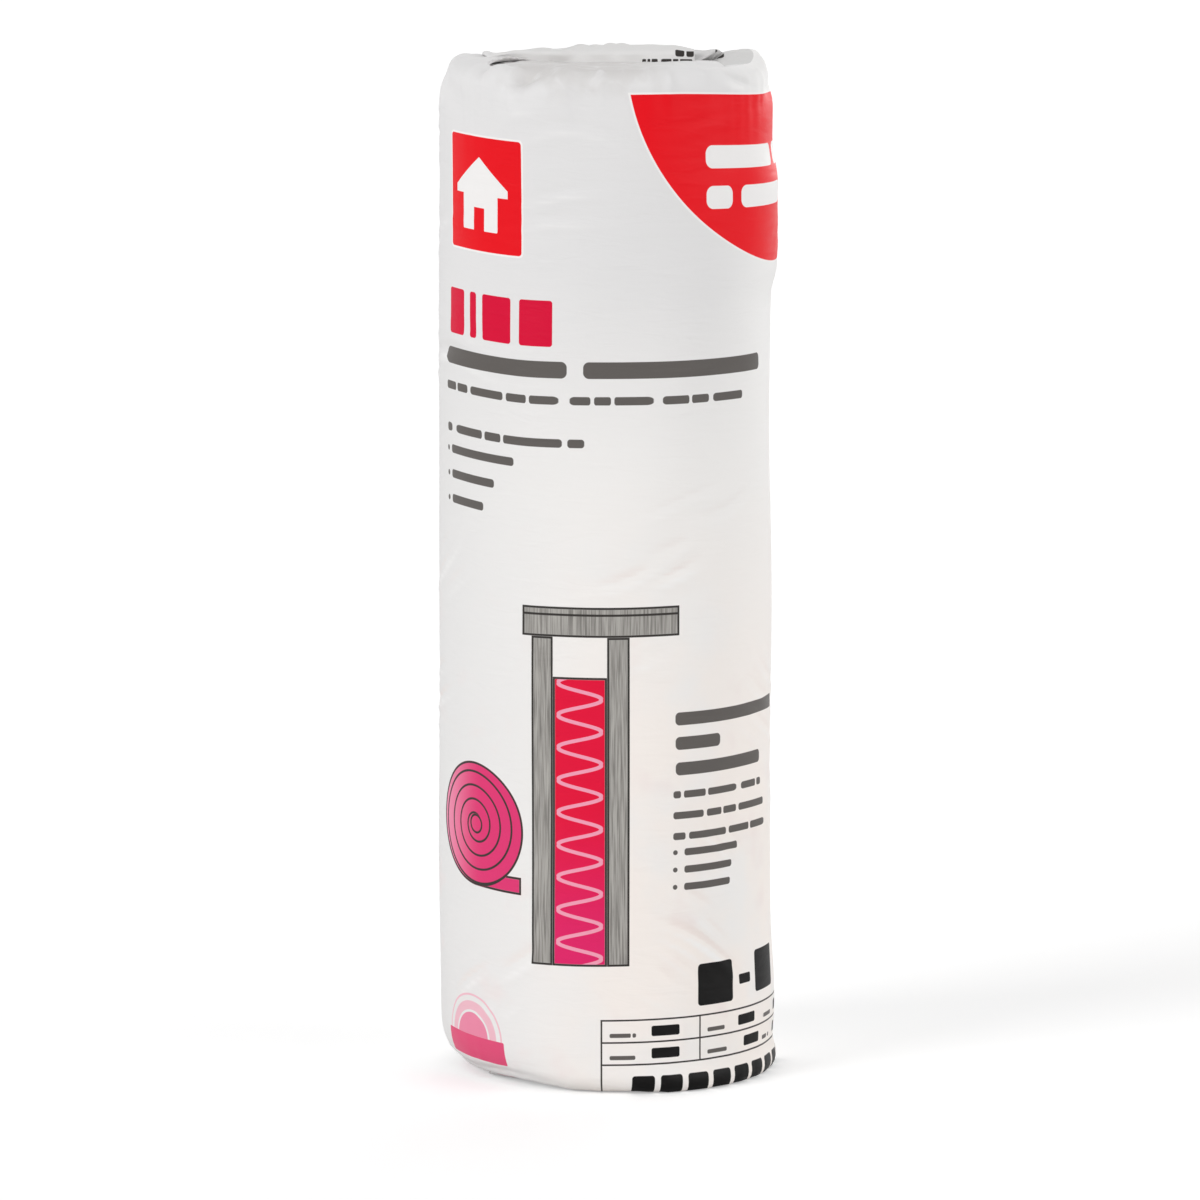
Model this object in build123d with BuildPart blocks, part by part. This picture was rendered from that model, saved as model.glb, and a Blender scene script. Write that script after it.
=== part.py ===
"""A roll of unfaced glass wool insulation batt, standing on its end in its plastic film wrap.

Millimetres, +Z up. The origin is the centre of the face that the roll stands on, and -Y is the front.
The batt is one mat, 16 in wide and 48 in long. It is squeezed flat, wound up on itself and held by a
tube of plastic film, whose two mouths are folded in over the ends of the roll and sealed.
"""

import math
import os

from build123d import *

# The batt: its width stands upright in the roll, and its length is wound up
batt_width = 406.4
batt_length = 1219.2
roll_diameter = 133.0
eye_diameter = 9.0

# The mat starts a little inside the eye's wall, where it is crushed to a plain core. The core
# lies below the grooves between the turns.
eye_crush = 1.5
core_turns = 1.25
core_recess = 0.3

# Each turn's edge bulges on both ends of the roll, and the film presses these bulges' crowns flat
turn_edge_bulge = 2.2
turn_crown_width = 5.0

# The film's pull rounds the roll's rims, and the wool inside gives way in a few flats
rim_round = 8.0
rim_flats = 3

# The batt's outer end lies along the back of the roll and leaves a shallow crease there
tail_azimuth = 100.0
tail_crease_radius = 22.0
tail_crease_depth = 1.2

# The film, and the air between it and the batt
film_thickness = 0.2
film_gap = 0.2

# The film is a sheet made into a tube: its two long edges lap over each other at the back
lap_azimuth = 90.0
lap_width = 12.0

# A folded end, as plies of film: gussets are tucked in from both sides, then the front and back
# panels close over them, and the two lips are sealed and laid over towards the back
gusset_plies = 2
end_plies = 4
panel_rise = 1.4
panel_half_angle = 52.0
seal_length = 78.0
seal_middle_x = -9.0
seal_width = 15.0
seal_riser = 2.0
seal_fold_radius = 0.8
seal_free_lift = 3.8
seal_line_y = -7.0
seal_plies = 2

# The foot is the same fold, pressed flat by the roll's weight
foot_ply_edge_depth = 0.3

# What follows from the sizes above
roll_radius = roll_diameter / 2
eye_radius = eye_diameter / 2
winding_radius = eye_radius - eye_crush
wound_thickness = math.pi * (roll_radius**2 - winding_radius**2) / batt_length
turns = (roll_radius - winding_radius) / wound_thickness
winding_start = tail_azimuth - 360 * turns
half_turns = math.ceil(2 * turns) + 2

end_thickness = end_plies * film_thickness
gusset_depth = gusset_plies * film_thickness
batt_foot = end_thickness + film_gap
batt_head = batt_foot + batt_width

film_inner_radius = roll_radius + film_gap
film_radius = film_inner_radius + film_thickness
film_inner_round = rim_round + film_gap
film_round = film_inner_round + film_thickness
film_head = batt_head + film_gap + end_thickness
end_face_radius = film_radius - film_round


def rounded_section(radius, foot, head, rounding):
    """Half of a cylinder's lengthwise section, with its two rims rounded by arcs."""
    with BuildSketch() as section:
        with BuildLine():
            Polyline((0, head), (0, foot), (radius - rounding, foot))
            CenterArc((radius - rounding, foot + rounding), rounding, -90, 90)
            Line((radius, foot + rounding), (radius, head - rounding))
            CenterArc((radius - rounding, head - rounding), rounding, 0, 90)
            Line((radius - rounding, head), (0, head))
        make_face()
    return section.sketch


def flatted_section(radius, foot, head, rounding):
    """The same half section, with each rim's arc cut off by flats of equal length."""
    turns_of_rim = [math.radians(90 * step / rim_flats) for step in range(rim_flats + 1)]
    rim = [(math.sin(turn), math.cos(turn)) for turn in turns_of_rim]
    foot_rim = [(radius - rounding * (1 - x), foot + rounding * (1 - y)) for x, y in rim]
    head_rim = [(radius - rounding * (1 - x), head - rounding * (1 - y)) for x, y in reversed(rim)]
    with BuildSketch() as section:
        with BuildLine():
            Polyline((0, head), (0, foot), *foot_rim, *head_rim, (0, head))
        make_face()
    return section.sketch


def along(azimuth, radius):
    """A point on the plan at a distance from the roll's axis."""
    turn = math.radians(azimuth)
    return (radius * math.cos(turn), radius * math.sin(turn))


def turn_section():
    """The mat's section as it stands in the roll, with both edges bulged."""
    side = wound_thickness / 2
    crown = turn_crown_width / 2
    top = batt_width / 2
    shoulder = top - turn_edge_bulge
    with BuildSketch() as section:
        with BuildLine():
            Polyline((side, 0), (side, shoulder), (crown, top), (-crown, top), (-side, shoulder), (-side, 0))
            mirror(about=Plane.XZ)
        make_face()
    return section.sketch


# The batt. Its section is carried round by half turns about two centres, half a thickness apart,
# so that each turn lies against the last one and the whole is a true spiral.
start = math.radians(winding_start)
outward = (math.cos(start), math.sin(start), 0)
winding_plane = Plane((0, 0, 0), x_dir=outward, z_dir=(math.sin(start), -math.cos(start), 0))
with BuildPart() as fiberglass_batt:
    for number in range(half_turns):
        side = 1 if number % 2 == 0 else -1
        centre = (number % 2) * wound_thickness / 2
        mid_radius = winding_radius + (number + 1) * wound_thickness / 2
        with BuildSketch(winding_plane):
            with Locations((centre + side * mid_radius, batt_foot + batt_width / 2)):
                add(turn_section())
        winding_axis = Axis(winding_plane.from_local_coords((centre, 0, 0)), (0, 0, 1))
        revolve(axis=winding_axis, revolution_arc=180)
    # The core
    with Locations((0, 0, batt_foot + batt_width / 2)):
        core_radius = winding_radius + core_turns * wound_thickness
        Cylinder(core_radius, batt_width - 2 * (turn_edge_bulge + core_recess))
    # The film squeezes the winding round and rounds its rims.
    with BuildSketch(Plane.XZ):
        add(flatted_section(roll_radius, batt_foot, batt_head, rim_round))
    revolve(axis=Axis.Z, mode=Mode.INTERSECT)
    Hole(eye_radius)
    # The crease where the mat ends
    with BuildSketch(Plane.XY):
        with Locations(along(tail_azimuth, roll_radius + tail_crease_radius - tail_crease_depth)):
            Circle(tail_crease_radius)
    extrude(amount=film_head, mode=Mode.SUBTRACT)


# The panels that close over an end, from above: a sector each at the front and back, cut off short
# of the sides, and the seal's strip between them
def end_panels():
    """The front and back panels' outline on the plan, with the seal's strip between them."""
    rim_x, rim_y = along(90 - panel_half_angle, end_face_radius)
    left, right = seal_middle_x - seal_length / 2, seal_middle_x + seal_length / 2
    with BuildSketch() as panels:
        with BuildLine():
            Polyline((left, 0), (right, 0), (right, seal_width / 2), (rim_x, rim_y))
            ThreePointArc((rim_x, rim_y), (0, end_face_radius), (-rim_x, rim_y))
            Polyline((-rim_x, rim_y), (left, seal_width / 2), (left, 0))
        make_face()
        mirror(about=Plane.XZ)
    return panels.sketch


with BuildPart() as head_panels:
    with BuildSketch(Plane.XY.offset(film_head - gusset_depth)):
        add(end_panels())
    extrude(amount=gusset_depth + panel_rise)
    # The panels swell towards the middle, as a very shallow dome that starts at the rim.
    dome_radius = (end_face_radius**2 + panel_rise**2) / (2 * panel_rise)
    with Locations((0, 0, film_head + panel_rise - dome_radius)):
        Sphere(dome_radius, rotation=(90, 0, 0), mode=Mode.INTERSECT)


# The head's seal: both lips of the mouth, pressed together. It leans back, half laid over
def dome_height(y):
    """The height of the panels' dome over the roll's middle line."""
    return film_head + panel_rise - dome_radius + math.sqrt(dome_radius**2 - y**2)


with BuildPart() as head_seal:
    with BuildSketch(Plane.YZ.offset(seal_middle_x)):
        with BuildLine():
            root_height = dome_height(seal_line_y)
            free_y = seal_line_y + seal_width
            FilletPolyline(
                (seal_line_y, root_height - film_thickness),
                (seal_line_y, root_height + seal_riser),
                (free_y, dome_height(free_y) + seal_free_lift),
                radius=seal_fold_radius,
            )
        trace(line_width=seal_plies * film_thickness)
    extrude(amount=seal_length / 2, both=True)


# The film
with BuildPart() as film_wrap:
    with BuildSketch(Plane.XZ):
        add(rounded_section(film_radius, 0, film_head - gusset_depth, film_round))
    revolve(axis=Axis.Z)
    # The lap seam runs from rim to rim.
    with BuildSketch(Plane.XY.offset(film_round)):
        with BuildLine():
            half_lap = math.degrees(lap_width / 2 / film_radius)
            outer = CenterArc((0, 0), film_radius + film_thickness, lap_azimuth - half_lap, 2 * half_lap)
            inner = CenterArc((0, 0), film_radius - film_thickness / 2, lap_azimuth - half_lap, 2 * half_lap)
            Line(outer @ 0, inner @ 0)
            Line(outer @ 1, inner @ 1)
        make_face()
    extrude(amount=film_head - 2 * film_round)
    add(head_panels.part)
    add(head_seal.part)
    # The gussets show on the foot as two shallow triangles between the panels.
    with BuildSketch(Plane.XY):
        Circle(end_face_radius)
        add(end_panels(), mode=Mode.SUBTRACT)
    extrude(amount=foot_ply_edge_depth, mode=Mode.SUBTRACT)
    # The room for the batt
    with BuildSketch(Plane.XZ):
        add(flatted_section(film_inner_radius, end_thickness, batt_head + film_gap, film_inner_round))
    revolve(axis=Axis.Z, mode=Mode.SUBTRACT)

fiberglass_batt.part.label = "fiberglass_batt"
film_wrap.part.label = "film_wrap"

os.makedirs("parts", exist_ok=True)
for piece in (fiberglass_batt.part, film_wrap.part):
    export_step(piece, f"parts/{piece.label}.step")
    print(piece.label, "solids", len(piece.solids()), "volume", round(piece.volume), piece.bounding_box().size)
print("turns", round(turns, 2), "each", round(wound_thickness, 2), "thick")
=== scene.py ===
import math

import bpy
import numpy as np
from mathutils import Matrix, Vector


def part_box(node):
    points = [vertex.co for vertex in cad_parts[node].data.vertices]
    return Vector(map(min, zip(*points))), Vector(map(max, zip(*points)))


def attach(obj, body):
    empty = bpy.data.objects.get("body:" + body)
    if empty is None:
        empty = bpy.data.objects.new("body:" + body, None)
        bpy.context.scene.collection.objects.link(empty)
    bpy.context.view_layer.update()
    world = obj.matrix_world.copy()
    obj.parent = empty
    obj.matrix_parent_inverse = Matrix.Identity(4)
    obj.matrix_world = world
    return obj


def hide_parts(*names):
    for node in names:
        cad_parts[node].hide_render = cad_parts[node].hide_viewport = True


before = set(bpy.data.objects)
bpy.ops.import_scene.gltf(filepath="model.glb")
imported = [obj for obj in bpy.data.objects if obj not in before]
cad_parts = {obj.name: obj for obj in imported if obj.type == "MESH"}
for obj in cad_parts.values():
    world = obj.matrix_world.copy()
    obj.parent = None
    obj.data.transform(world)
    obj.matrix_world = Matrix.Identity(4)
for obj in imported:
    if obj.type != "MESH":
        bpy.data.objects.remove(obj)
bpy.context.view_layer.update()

# %% [markdown]
# A roll of glass wool batt in its film wrap
#
# The object is one pink glass wool mat, wound up tight and kept in a bag of milky white plastic film.
# Only the film shows, so nearly all the work here is the film: how it lies over the roll, how its ends
# are folded and sealed, and what is printed on it. The imported model is already loaded. It gives the true
# size and place of both pieces, and they are kept, hidden.

MM = 0.001

# %% [markdown]
# The camera
#
# In the photograph the roll's foot bulges down more than the front edge of its head, and its sides stay
# parallel. That is a long lens, a little above the roll, tilted down. The camera is placed first,
# because every later choice of detail is judged through it.

# %% The camera
camera_distance = 2.9
camera_height = 0.595
camera_side = -2.8 * MM
aim_height = 0.1898
lens_mm = 217.6

camera_data = bpy.data.cameras.new("photo_camera")
camera_data.lens = lens_mm
camera_data.sensor_width = 36.0
camera = bpy.data.objects.new("photo_camera", camera_data)
bpy.context.collection.objects.link(camera)
camera.location = (camera_side, -camera_distance, camera_height)
looking = Vector((camera_side, 0, aim_height)) - camera.location
camera.rotation_euler = looking.to_track_quat("-Z", "Y").to_euler()
bpy.context.scene.camera = camera
print("camera tilt, degrees:", round(math.degrees(math.asin(-looking.normalized().z)), 2))

# %% [markdown]
# Nodes and colours
#
# Three small helpers serve every material. One turns a hex colour, as read in a picture editor, into the
# linear values that shaders work in. One adds a node with its settings and its links in one call. One
# starts a material as an empty tree with its output node.

# %% Helpers for materials
def ink(hex_colour):
    """A linear RGBA colour from an sRGB hex value."""
    parts = [int(hex_colour[i : i + 2], 16) / 255 for i in (1, 3, 5)]
    return (*[c / 12.92 if c <= 0.04045 else ((c + 0.055) / 1.055) ** 2.4 for c in parts], 1.0)


def add(tree, kind, settings=(), **links):
    """Adds a node. settings are its properties, and links fill its sockets with values or outputs."""
    node = tree.nodes.new(kind)
    for name, value in dict(settings).items():
        setattr(node, name, value)
    for name, value in links.items():
        key = int(name[1:]) if name[1:].isdigit() else name.replace("_", " ")
        socket = node.inputs[key]
        if isinstance(value, bpy.types.NodeSocket):
            tree.links.new(value, socket)
        else:
            socket.default_value = value
    return node


def new_material(name):
    """An empty node material and its output node."""
    material = bpy.data.materials.new(name)
    material.use_nodes = True
    material.node_tree.nodes.clear()
    output = material.node_tree.nodes.new("ShaderNodeOutputMaterial")
    return material, output


# %% [markdown]
# The floor and the light
#
# The photograph is a cut-out on white, evenly lit from all round. A pale world gives part of the light,
# and three wide, far lamps give it just enough direction to draw the folds. Far lamps light the floor as
# evenly as daylight, so the paper stays clean to its edge. What the camera sees of the paper is lifted a
# little over what it throws back on the roll, so that it reads as a white background and still carries
# the shadow.

# %% The floor
floor_half = 8.0
floor_level = -0.2 * MM
seen_lift = 0.34
corners = [(x * floor_half, y * floor_half, floor_level) for x, y in ((-1, -1), (1, -1), (1, 1), (-1, 1))]
floor_mesh = bpy.data.meshes.new("white_floor")
floor_mesh.from_pydata(corners, [], [(0, 1, 2, 3)])
floor = bpy.data.objects.new("white_floor", floor_mesh)
bpy.context.collection.objects.link(floor)

paper, paper_output = new_material("white_background_paper")
tree = paper.node_tree
sight = add(tree, "ShaderNodeLightPath")
paper_lift = add(tree, "ShaderNodeMath", {"operation": "MULTIPLY"},
                 _0=sight.outputs["Is Camera Ray"], _1=seen_lift)
glow = add(tree, "ShaderNodeEmission", Color=(1, 1, 1, 1), Strength=paper_lift.outputs[0])
matt = add(tree, "ShaderNodeBsdfDiffuse", Color=ink("#E8E8E8"))
lit_paper = add(tree, "ShaderNodeAddShader", _0=matt.outputs["BSDF"], _1=glow.outputs["Emission"])
tree.links.new(lit_paper.outputs["Shader"], paper_output.inputs["Surface"])
floor.data.materials.append(paper)
print("floor, m:", 2 * floor_half, "square")

# %% The world and the lamps
even_light = 0.44
world = bpy.data.worlds.new("studio")
world.use_nodes = True
bpy.context.scene.world = world
tree = world.node_tree
tree.nodes.clear()
sight = add(tree, "ShaderNodeLightPath")
straight = add(tree, "ShaderNodeMath", {"operation": "MAXIMUM"},
               _0=sight.outputs["Is Camera Ray"], _1=sight.outputs["Is Glossy Ray"])
white_view = add(tree, "ShaderNodeMath", {"operation": "MAXIMUM"},
                 _0=straight.outputs[0], _1=sight.outputs["Is Transmission Ray"])
strength = add(tree, "ShaderNodeMapRange", Value=white_view.outputs[0])
strength.inputs["To Min"].default_value = even_light
sky = add(tree, "ShaderNodeBackground", Color=(1, 1, 1, 1), Strength=strength.outputs["Result"])
add(tree, "ShaderNodeOutputWorld", Surface=sky.outputs["Background"])


def far_lamp(name, place, irradiance, spread_degrees):
    """A lamp so far off that it lights all from one side. spread_degrees is its apparent size."""
    data = bpy.data.lights.new(name, "SUN")
    data.energy = irradiance
    data.angle = math.radians(spread_degrees)
    lamp = bpy.data.objects.new(name, data)
    bpy.context.collection.objects.link(lamp)
    lamp.location = place
    lamp.rotation_euler = Vector(place).to_track_quat("Z", "Y").to_euler()


far_lamp("key_front_left", (-2.3, -1.7, 1.35), 1.55, 30)
far_lamp("fill_front_right", (2.6, -1.1, 0.6), 1.45, 60)
far_lamp("fill_back", (0.8, 2.6, 1.1), 1.0, 60)
bpy.context.scene.view_settings.view_transform = "Standard"

# %% [markdown]
# The film's main form
#
# The film is drawn tight over a round roll, so its main form is a cylinder with soft rims. Any point of
# it can be named by two numbers: the azimuth round the roll, and the distance from the middle of the
# head, over the rim, down the side and under the foot to the middle of the foot. One function turns
# these into a place and the direction that faces outwards. Every lump and ply is then laid on that skin
# at its own small distance, the way real plies lie.

# %% The skin's profile
film_radius = 66.9 * MM
rim_round = 8.4 * MM
skin_head = 408.0 * MM
end_radius = film_radius - rim_round
rim_arc = rim_round * math.pi / 2
side_start = end_radius + rim_arc
side_end = side_start + skin_head - 2 * rim_round
foot_start = side_end + rim_arc
profile_length = foot_start + end_radius
front = -math.pi / 2
lap_azimuth = math.pi / 2
mat_end_azimuth = math.radians(100)


def profile(distance):
    """Radius, height and outward direction (radial, upward) at a distance along the skin."""
    head_turn = np.clip((distance - end_radius) / rim_round, 0, math.pi / 2)
    foot_turn = np.clip((distance - side_end) / rim_round, 0, math.pi / 2)
    radius = np.minimum(distance, end_radius) + rim_round * np.sin(head_turn)
    radius = radius - rim_round * (1 - np.cos(foot_turn)) - np.maximum(distance - foot_start, 0)
    height = skin_head - rim_round * (1 - np.cos(head_turn)) - rim_round * np.sin(foot_turn)
    height = height - np.clip(distance - side_start, 0, side_end - side_start)
    outward = np.where(distance < side_end, np.sin(head_turn), np.cos(foot_turn))
    upward = np.where(distance < side_end, np.cos(head_turn), -np.sin(foot_turn))
    return radius, height, outward, upward


def around(azimuth):
    """The distance round the roll from the front, positive to the right."""
    turn = (azimuth - front + math.pi) % (2 * math.pi) - math.pi
    return film_radius * turn


def level(distance):
    """The height on the side, carried on by the film's own length over the rims and the ends."""
    return skin_head - rim_round - (distance - side_start)


def ease(t):
    """A smooth step from 0 to 1."""
    t = np.clip(t, 0, 1)
    return t * t * (3 - 2 * t)


def bell(offset, half_width):
    """A smooth bump of height 1."""
    return np.exp(-((offset / half_width) ** 2))


print("skin length over the profile, mm:", round(profile_length / MM, 1))

# %% [markdown]
# Slack, lumps and pull lines
#
# Film on wool is never a clean cylinder. The wool pushes soft lumps into it, and the film's own pull
# leaves short families of fine parallel creases that run aslant. These are all heights over the skin.
# Families are listed where the photograph shows them, and a seeded draw gives the hidden sides
# more of the same kind. Each crease in a family has its own length, bend and height, because film under
# tension never repeats itself.

# %% Families of creases
rng = np.random.default_rng(16)
crease_gain = 1.6

# place round the roll, height, slope in degrees, half length, half width, spacing and height, in mm
seen_families = [
    (34, 62, -34, 26, 20, 7.0, 0.50),
    (52, 92, -40, 20, 12, 6.5, 0.34),
    (16, 40, -24, 18, 10, 7.0, 0.30),
    (19, 207, 22, 24, 10, 6.0, 0.40),
    (18, 174, 20, 15, 6, 5.0, 0.24),
    (50, 236, 16, 28, 12, 8.0, 0.20),
    (66, 292, 8, 30, 12, 8.0, 0.20),
    (-20, 352, 6, 28, 13, 9.0, 0.24),
    (-60, 292, -12, 26, 12, 8.5, 0.22),
    (-52, 40, 34, 22, 14, 7.0, 0.36),
    (-36, 389, 12, 10, 3, 3.0, 0.24),
    (-8, 384, -6, 24, 6, 6.0, 0.18),
    (52, 388, 7, 24, 8, 6.0, 0.36),
    (-84, 200, 30, 30, 16, 9.0, 0.30),
    (88, 150, -26, 34, 18, 9.0, 0.34),
    (60, 399, -10, 11, 4, 3.5, 0.42),
]
hidden_families = [
    (rng.uniform(100, 320), rng.uniform(24, 386), rng.uniform(-38, 38), rng.uniform(16, 32),
     rng.uniform(9, 18), rng.uniform(6, 9), rng.uniform(0.24, 0.5))
    for _ in range(22)
]
creases = []
for across, up, slope, half_length, half_width, spacing, height in seen_families + hidden_families:
    for offset in np.arange(-half_width, half_width + 0.1, spacing):
        share = 1 - 0.6 * abs(offset) / half_width
        creases.append((
            across, up, math.radians(slope + rng.normal(0, 3)), offset + rng.normal(0, spacing * 0.14),
            rng.normal(0, half_length * 0.3), half_length * share * rng.uniform(0.6, 1.1),
            rng.uniform(1.7, 2.4), height * share * rng.uniform(0.55, 1.15), rng.normal(0, 0.004),
        ))
print("creases:", len(creases))


def crease_relief(azimuth, distance):
    """The height of all creases: each is a narrow crest with a shallow trough on one side."""
    total = np.zeros(np.broadcast(azimuth, distance).shape)
    up_mm = level(distance) / MM
    for across, up, turn, offset, shift, half_length, width, height, bend in creases:
        u = around(azimuth - across * MM / film_radius) / MM
        v = up_mm - up
        along = u * math.cos(turn) + v * math.sin(turn) - shift
        athwart = v * math.cos(turn) - u * math.sin(turn) - offset + bend * along**2
        crest = bell(athwart, width) - 0.5 * bell(athwart - 2.1 * width, 1.4 * width)
        total += crease_gain * height * MM * bell(along, half_length) * crest
    return total


# %% [markdown]
# The lumps are a seeded sum of long waves that run aslant round the roll. On top come the roll's own
# larger departures from round: it is fuller to the right near both ends, a touch waisted between them,
# and shows a long soft groove at the back where the mat's outer end lies under the film. The film's own
# lap seam runs up the back beside it.

# %% Lumps of the wool
lump_waves = [
    (int(rng.integers(1, 10)), rng.uniform(-9, 9), rng.uniform(0, 2 * math.pi), rng.uniform(0.04, 0.12))
    for _ in range(26)
]
lap_half = 6.0 * MM
lap_ply = 0.4 * MM
groove_depth = 1.4 * MM
groove_bead = 0.7 * MM
fuller_from, fuller_to = 312 * MM, 378 * MM
upper_fullness, foot_fullness, left_fullness = 2.5 * MM, 2.0 * MM, 0.5 * MM
waist = 1.0 * MM


def lump_relief(azimuth, distance):
    """Soft unevenness of the wool, its fuller ends, its outer end's groove and the film's lap."""
    total = np.zeros(np.broadcast(azimuth, distance).shape)
    up = level(distance)
    for count, rise, phase, height in lump_waves:
        total += height * MM * np.cos(count * azimuth + rise * up * 2 * math.pi + phase)
    to_right = bell(around(azimuth - math.pi / 2), 54 * MM)
    to_left = bell(around(azimuth + math.pi / 2), 54 * MM)
    upper_swell = upper_fullness * ease((fuller_to - up) / (20 * MM)) * ease((up - fuller_from) / (16 * MM))
    foot_swell = foot_fullness * bell(up - 28 * MM, 24 * MM)
    total += (upper_swell + foot_swell - waist) * to_right + left_fullness * to_left
    groove_path = mat_end_azimuth + 0.02 * np.sin(up * 21)
    total -= groove_depth * bell(around(azimuth - groove_path + front), 8 * MM)
    total += groove_bead * bell(around(azimuth - groove_path + front - 0.16), 6 * MM)
    lap_path = lap_azimuth + 0.004 * np.sin(up * 38)
    from_lap = np.abs(around(azimuth - lap_path + front))
    total += lap_ply * ease((lap_half - from_lap) / (1.6 * MM) + 0.5)
    return total


print("waves in the wool:", len(lump_waves))

# %% [markdown]
# The shoulders carry marks of their own: a thumb-sized dent at the front left, a groove where the left
# fold crosses the rim, a right side that is full up to a crisp corner, and short gathers where the folds
# pull the film over the rim. The foot's rim was set down hard on its left and is bevelled there, and is
# nearly square on its right. Both ends are worked out on a plan that goes on past the rim, so the marks
# cross it smoothly.

# %% Marks on the shoulders and the foot's rim
panel_half_angle = math.radians(51.6)
fold_way = (math.sin(panel_half_angle), math.cos(panel_half_angle))
marks_reach = 95 * MM
corner_fullness, fold_groove = 3.7 * MM, 2.4 * MM
foot_corner, foot_bevel = 4.0 * MM, 5.2 * MM

# height, then place and half width across, then place and half width from front to back, in mm
head_marks = [
    (-3.0, 71, 5.5, 8, 26),
    (1.4, -52, 9, 5, 22),
    (-2.8, -68, 6, 0, 30),
    (-5.8, -34, 9, -56, 6.2),
    (1.1, -44, 5, -44, 5),
    (0.8, -20, 12, -50, 6),
]
gather_draws = [
    (rng.uniform(0, 2 * math.pi), rng.uniform(1.6, 3.2), rng.uniform(6, 17), rng.uniform(0.12, 0.5))
    for _ in range(70)
]
for middle in (front, lap_azimuth):
    for corner in (-panel_half_angle, panel_half_angle):
        for step in (-6, 0.5, 6.5):
            gather_draws.append((middle + corner + step * MM / film_radius, 2.2, 20.0, 0.45))


def shoulder_relief(azimuth, distance):
    """The head's and foot's own marks, as heights over the skin."""
    x, y = distance * np.cos(azimuth) / MM, distance * np.sin(azimuth) / MM
    head = corner_fullness * ease((x - 39) / 13) * ease((66 - x) / 8) * bell(y - 15, 19)
    for height, across, half_across, back, half_back in head_marks:
        head += height * MM * bell(x - across, half_across) * bell(y - back, half_back)
    along_fold = -(fold_way[0] * x + fold_way[1] * y)
    off_fold = fold_way[1] * x - fold_way[0] * y
    head -= fold_groove * bell(off_fold - 1.5, 2.4) * bell(along_fold - 62, 5)
    total = head * (distance < marks_reach)
    from_rim = (distance - side_end - rim_arc / 2) / MM
    to_front_left = ease((-around(azimuth) / MM - 2) / 52) * ease((150 + around(azimuth) / MM) / 50)
    to_right = ease((around(azimuth) / MM + 8) / 50) * ease((190 - around(azimuth) / MM) / 50)
    total += foot_corner * to_right * bell(from_rim, 5.5) - foot_bevel * to_front_left * bell(from_rim, 9)
    for azimuth_at, width, reach, height in gather_draws:
        off = around(azimuth - azimuth_at + front) / MM
        crest = bell(off, width) - 0.5 * bell(off - 2.2 * width, 1.5 * width)
        for edge, strength in ((side_start - 4 * MM, 1.0), (side_end + 4 * MM, 0.35)):
            total += strength * height * MM * crest * bell((distance - edge) / MM, reach)
    return total


def relief(azimuth, distance):
    """All heights over the skin. They die away on the foot's face, which stands on the floor."""
    marks = crease_relief(azimuth, distance) + lump_relief(azimuth, distance)
    marks = marks * ease((distance / MM - 34) / 22)
    off_floor = 1 - ease((distance - side_end - 0.45 * rim_arc) / (0.5 * rim_arc))
    lift = (marks + shoulder_relief(azimuth, distance)) * off_floor
    bevel_only = np.minimum(shoulder_relief(azimuth, distance), 0) * (1 - off_floor)
    return lift + bevel_only


def place(azimuth, distance, above=0.0):
    """Points on the film's side and rims, a distance above the skin."""
    radius, height, outward, upward = profile(distance)
    lift = relief(azimuth, distance) + above
    r, z = radius + outward * lift, height + upward * lift
    return np.stack([r * np.cos(azimuth), r * np.sin(azimuth), z], axis=-1)


# %% [markdown]
# How an end is folded
#
# At each end the tube of film is tucked in from both sides, which makes two gussets, and the front and
# back are then drawn together over them and welded in a straight seal. So the film's threads don't run
# to the middle of the end: those of the two panels run to the seal, and those of the gussets run to the
# seal's ends, under the panels. The net below has one column for every thread. A few columns beside
# each panel's slanting edge turn round it and go back under it, which makes a real fold with a gap
# beneath, and not a step. At the head's front left the fold was made the other way, as in the
# photograph: there the gusset's film comes out over the front panel as a flap.

# %% Threads of the folded end
around_count = 300
half_turn_columns = around_count // 2
side_columns = around_count // 4
panel_columns = 43
columns = np.arange(-half_turn_columns, half_turn_columns)
azimuths = front + columns * 2 * math.pi / around_count
from_middle = np.minimum(np.abs(columns), half_turn_columns - np.abs(columns))
to_side = np.where(columns < 0, -1, 1)
to_back = np.where(np.abs(columns) > side_columns, 1, -1)

print("columns:", around_count, "of which in panels:", int((from_middle <= panel_columns).sum()))

seal_half = 40.0 * MM
seal_middle = -6.5 * MM
seal_line = -7.0 * MM
tuck_depth = 7.0 * MM
flap_depth = 15.5 * MM
past_flap = 0.8 * MM
turn_out, turn_back = 0.7 * MM, 0.4 * MM
edge_bow = 3.0 * MM
flap_side = (to_side < 0) & (to_back < 0)
lip_half = 0.4 * MM


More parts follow.
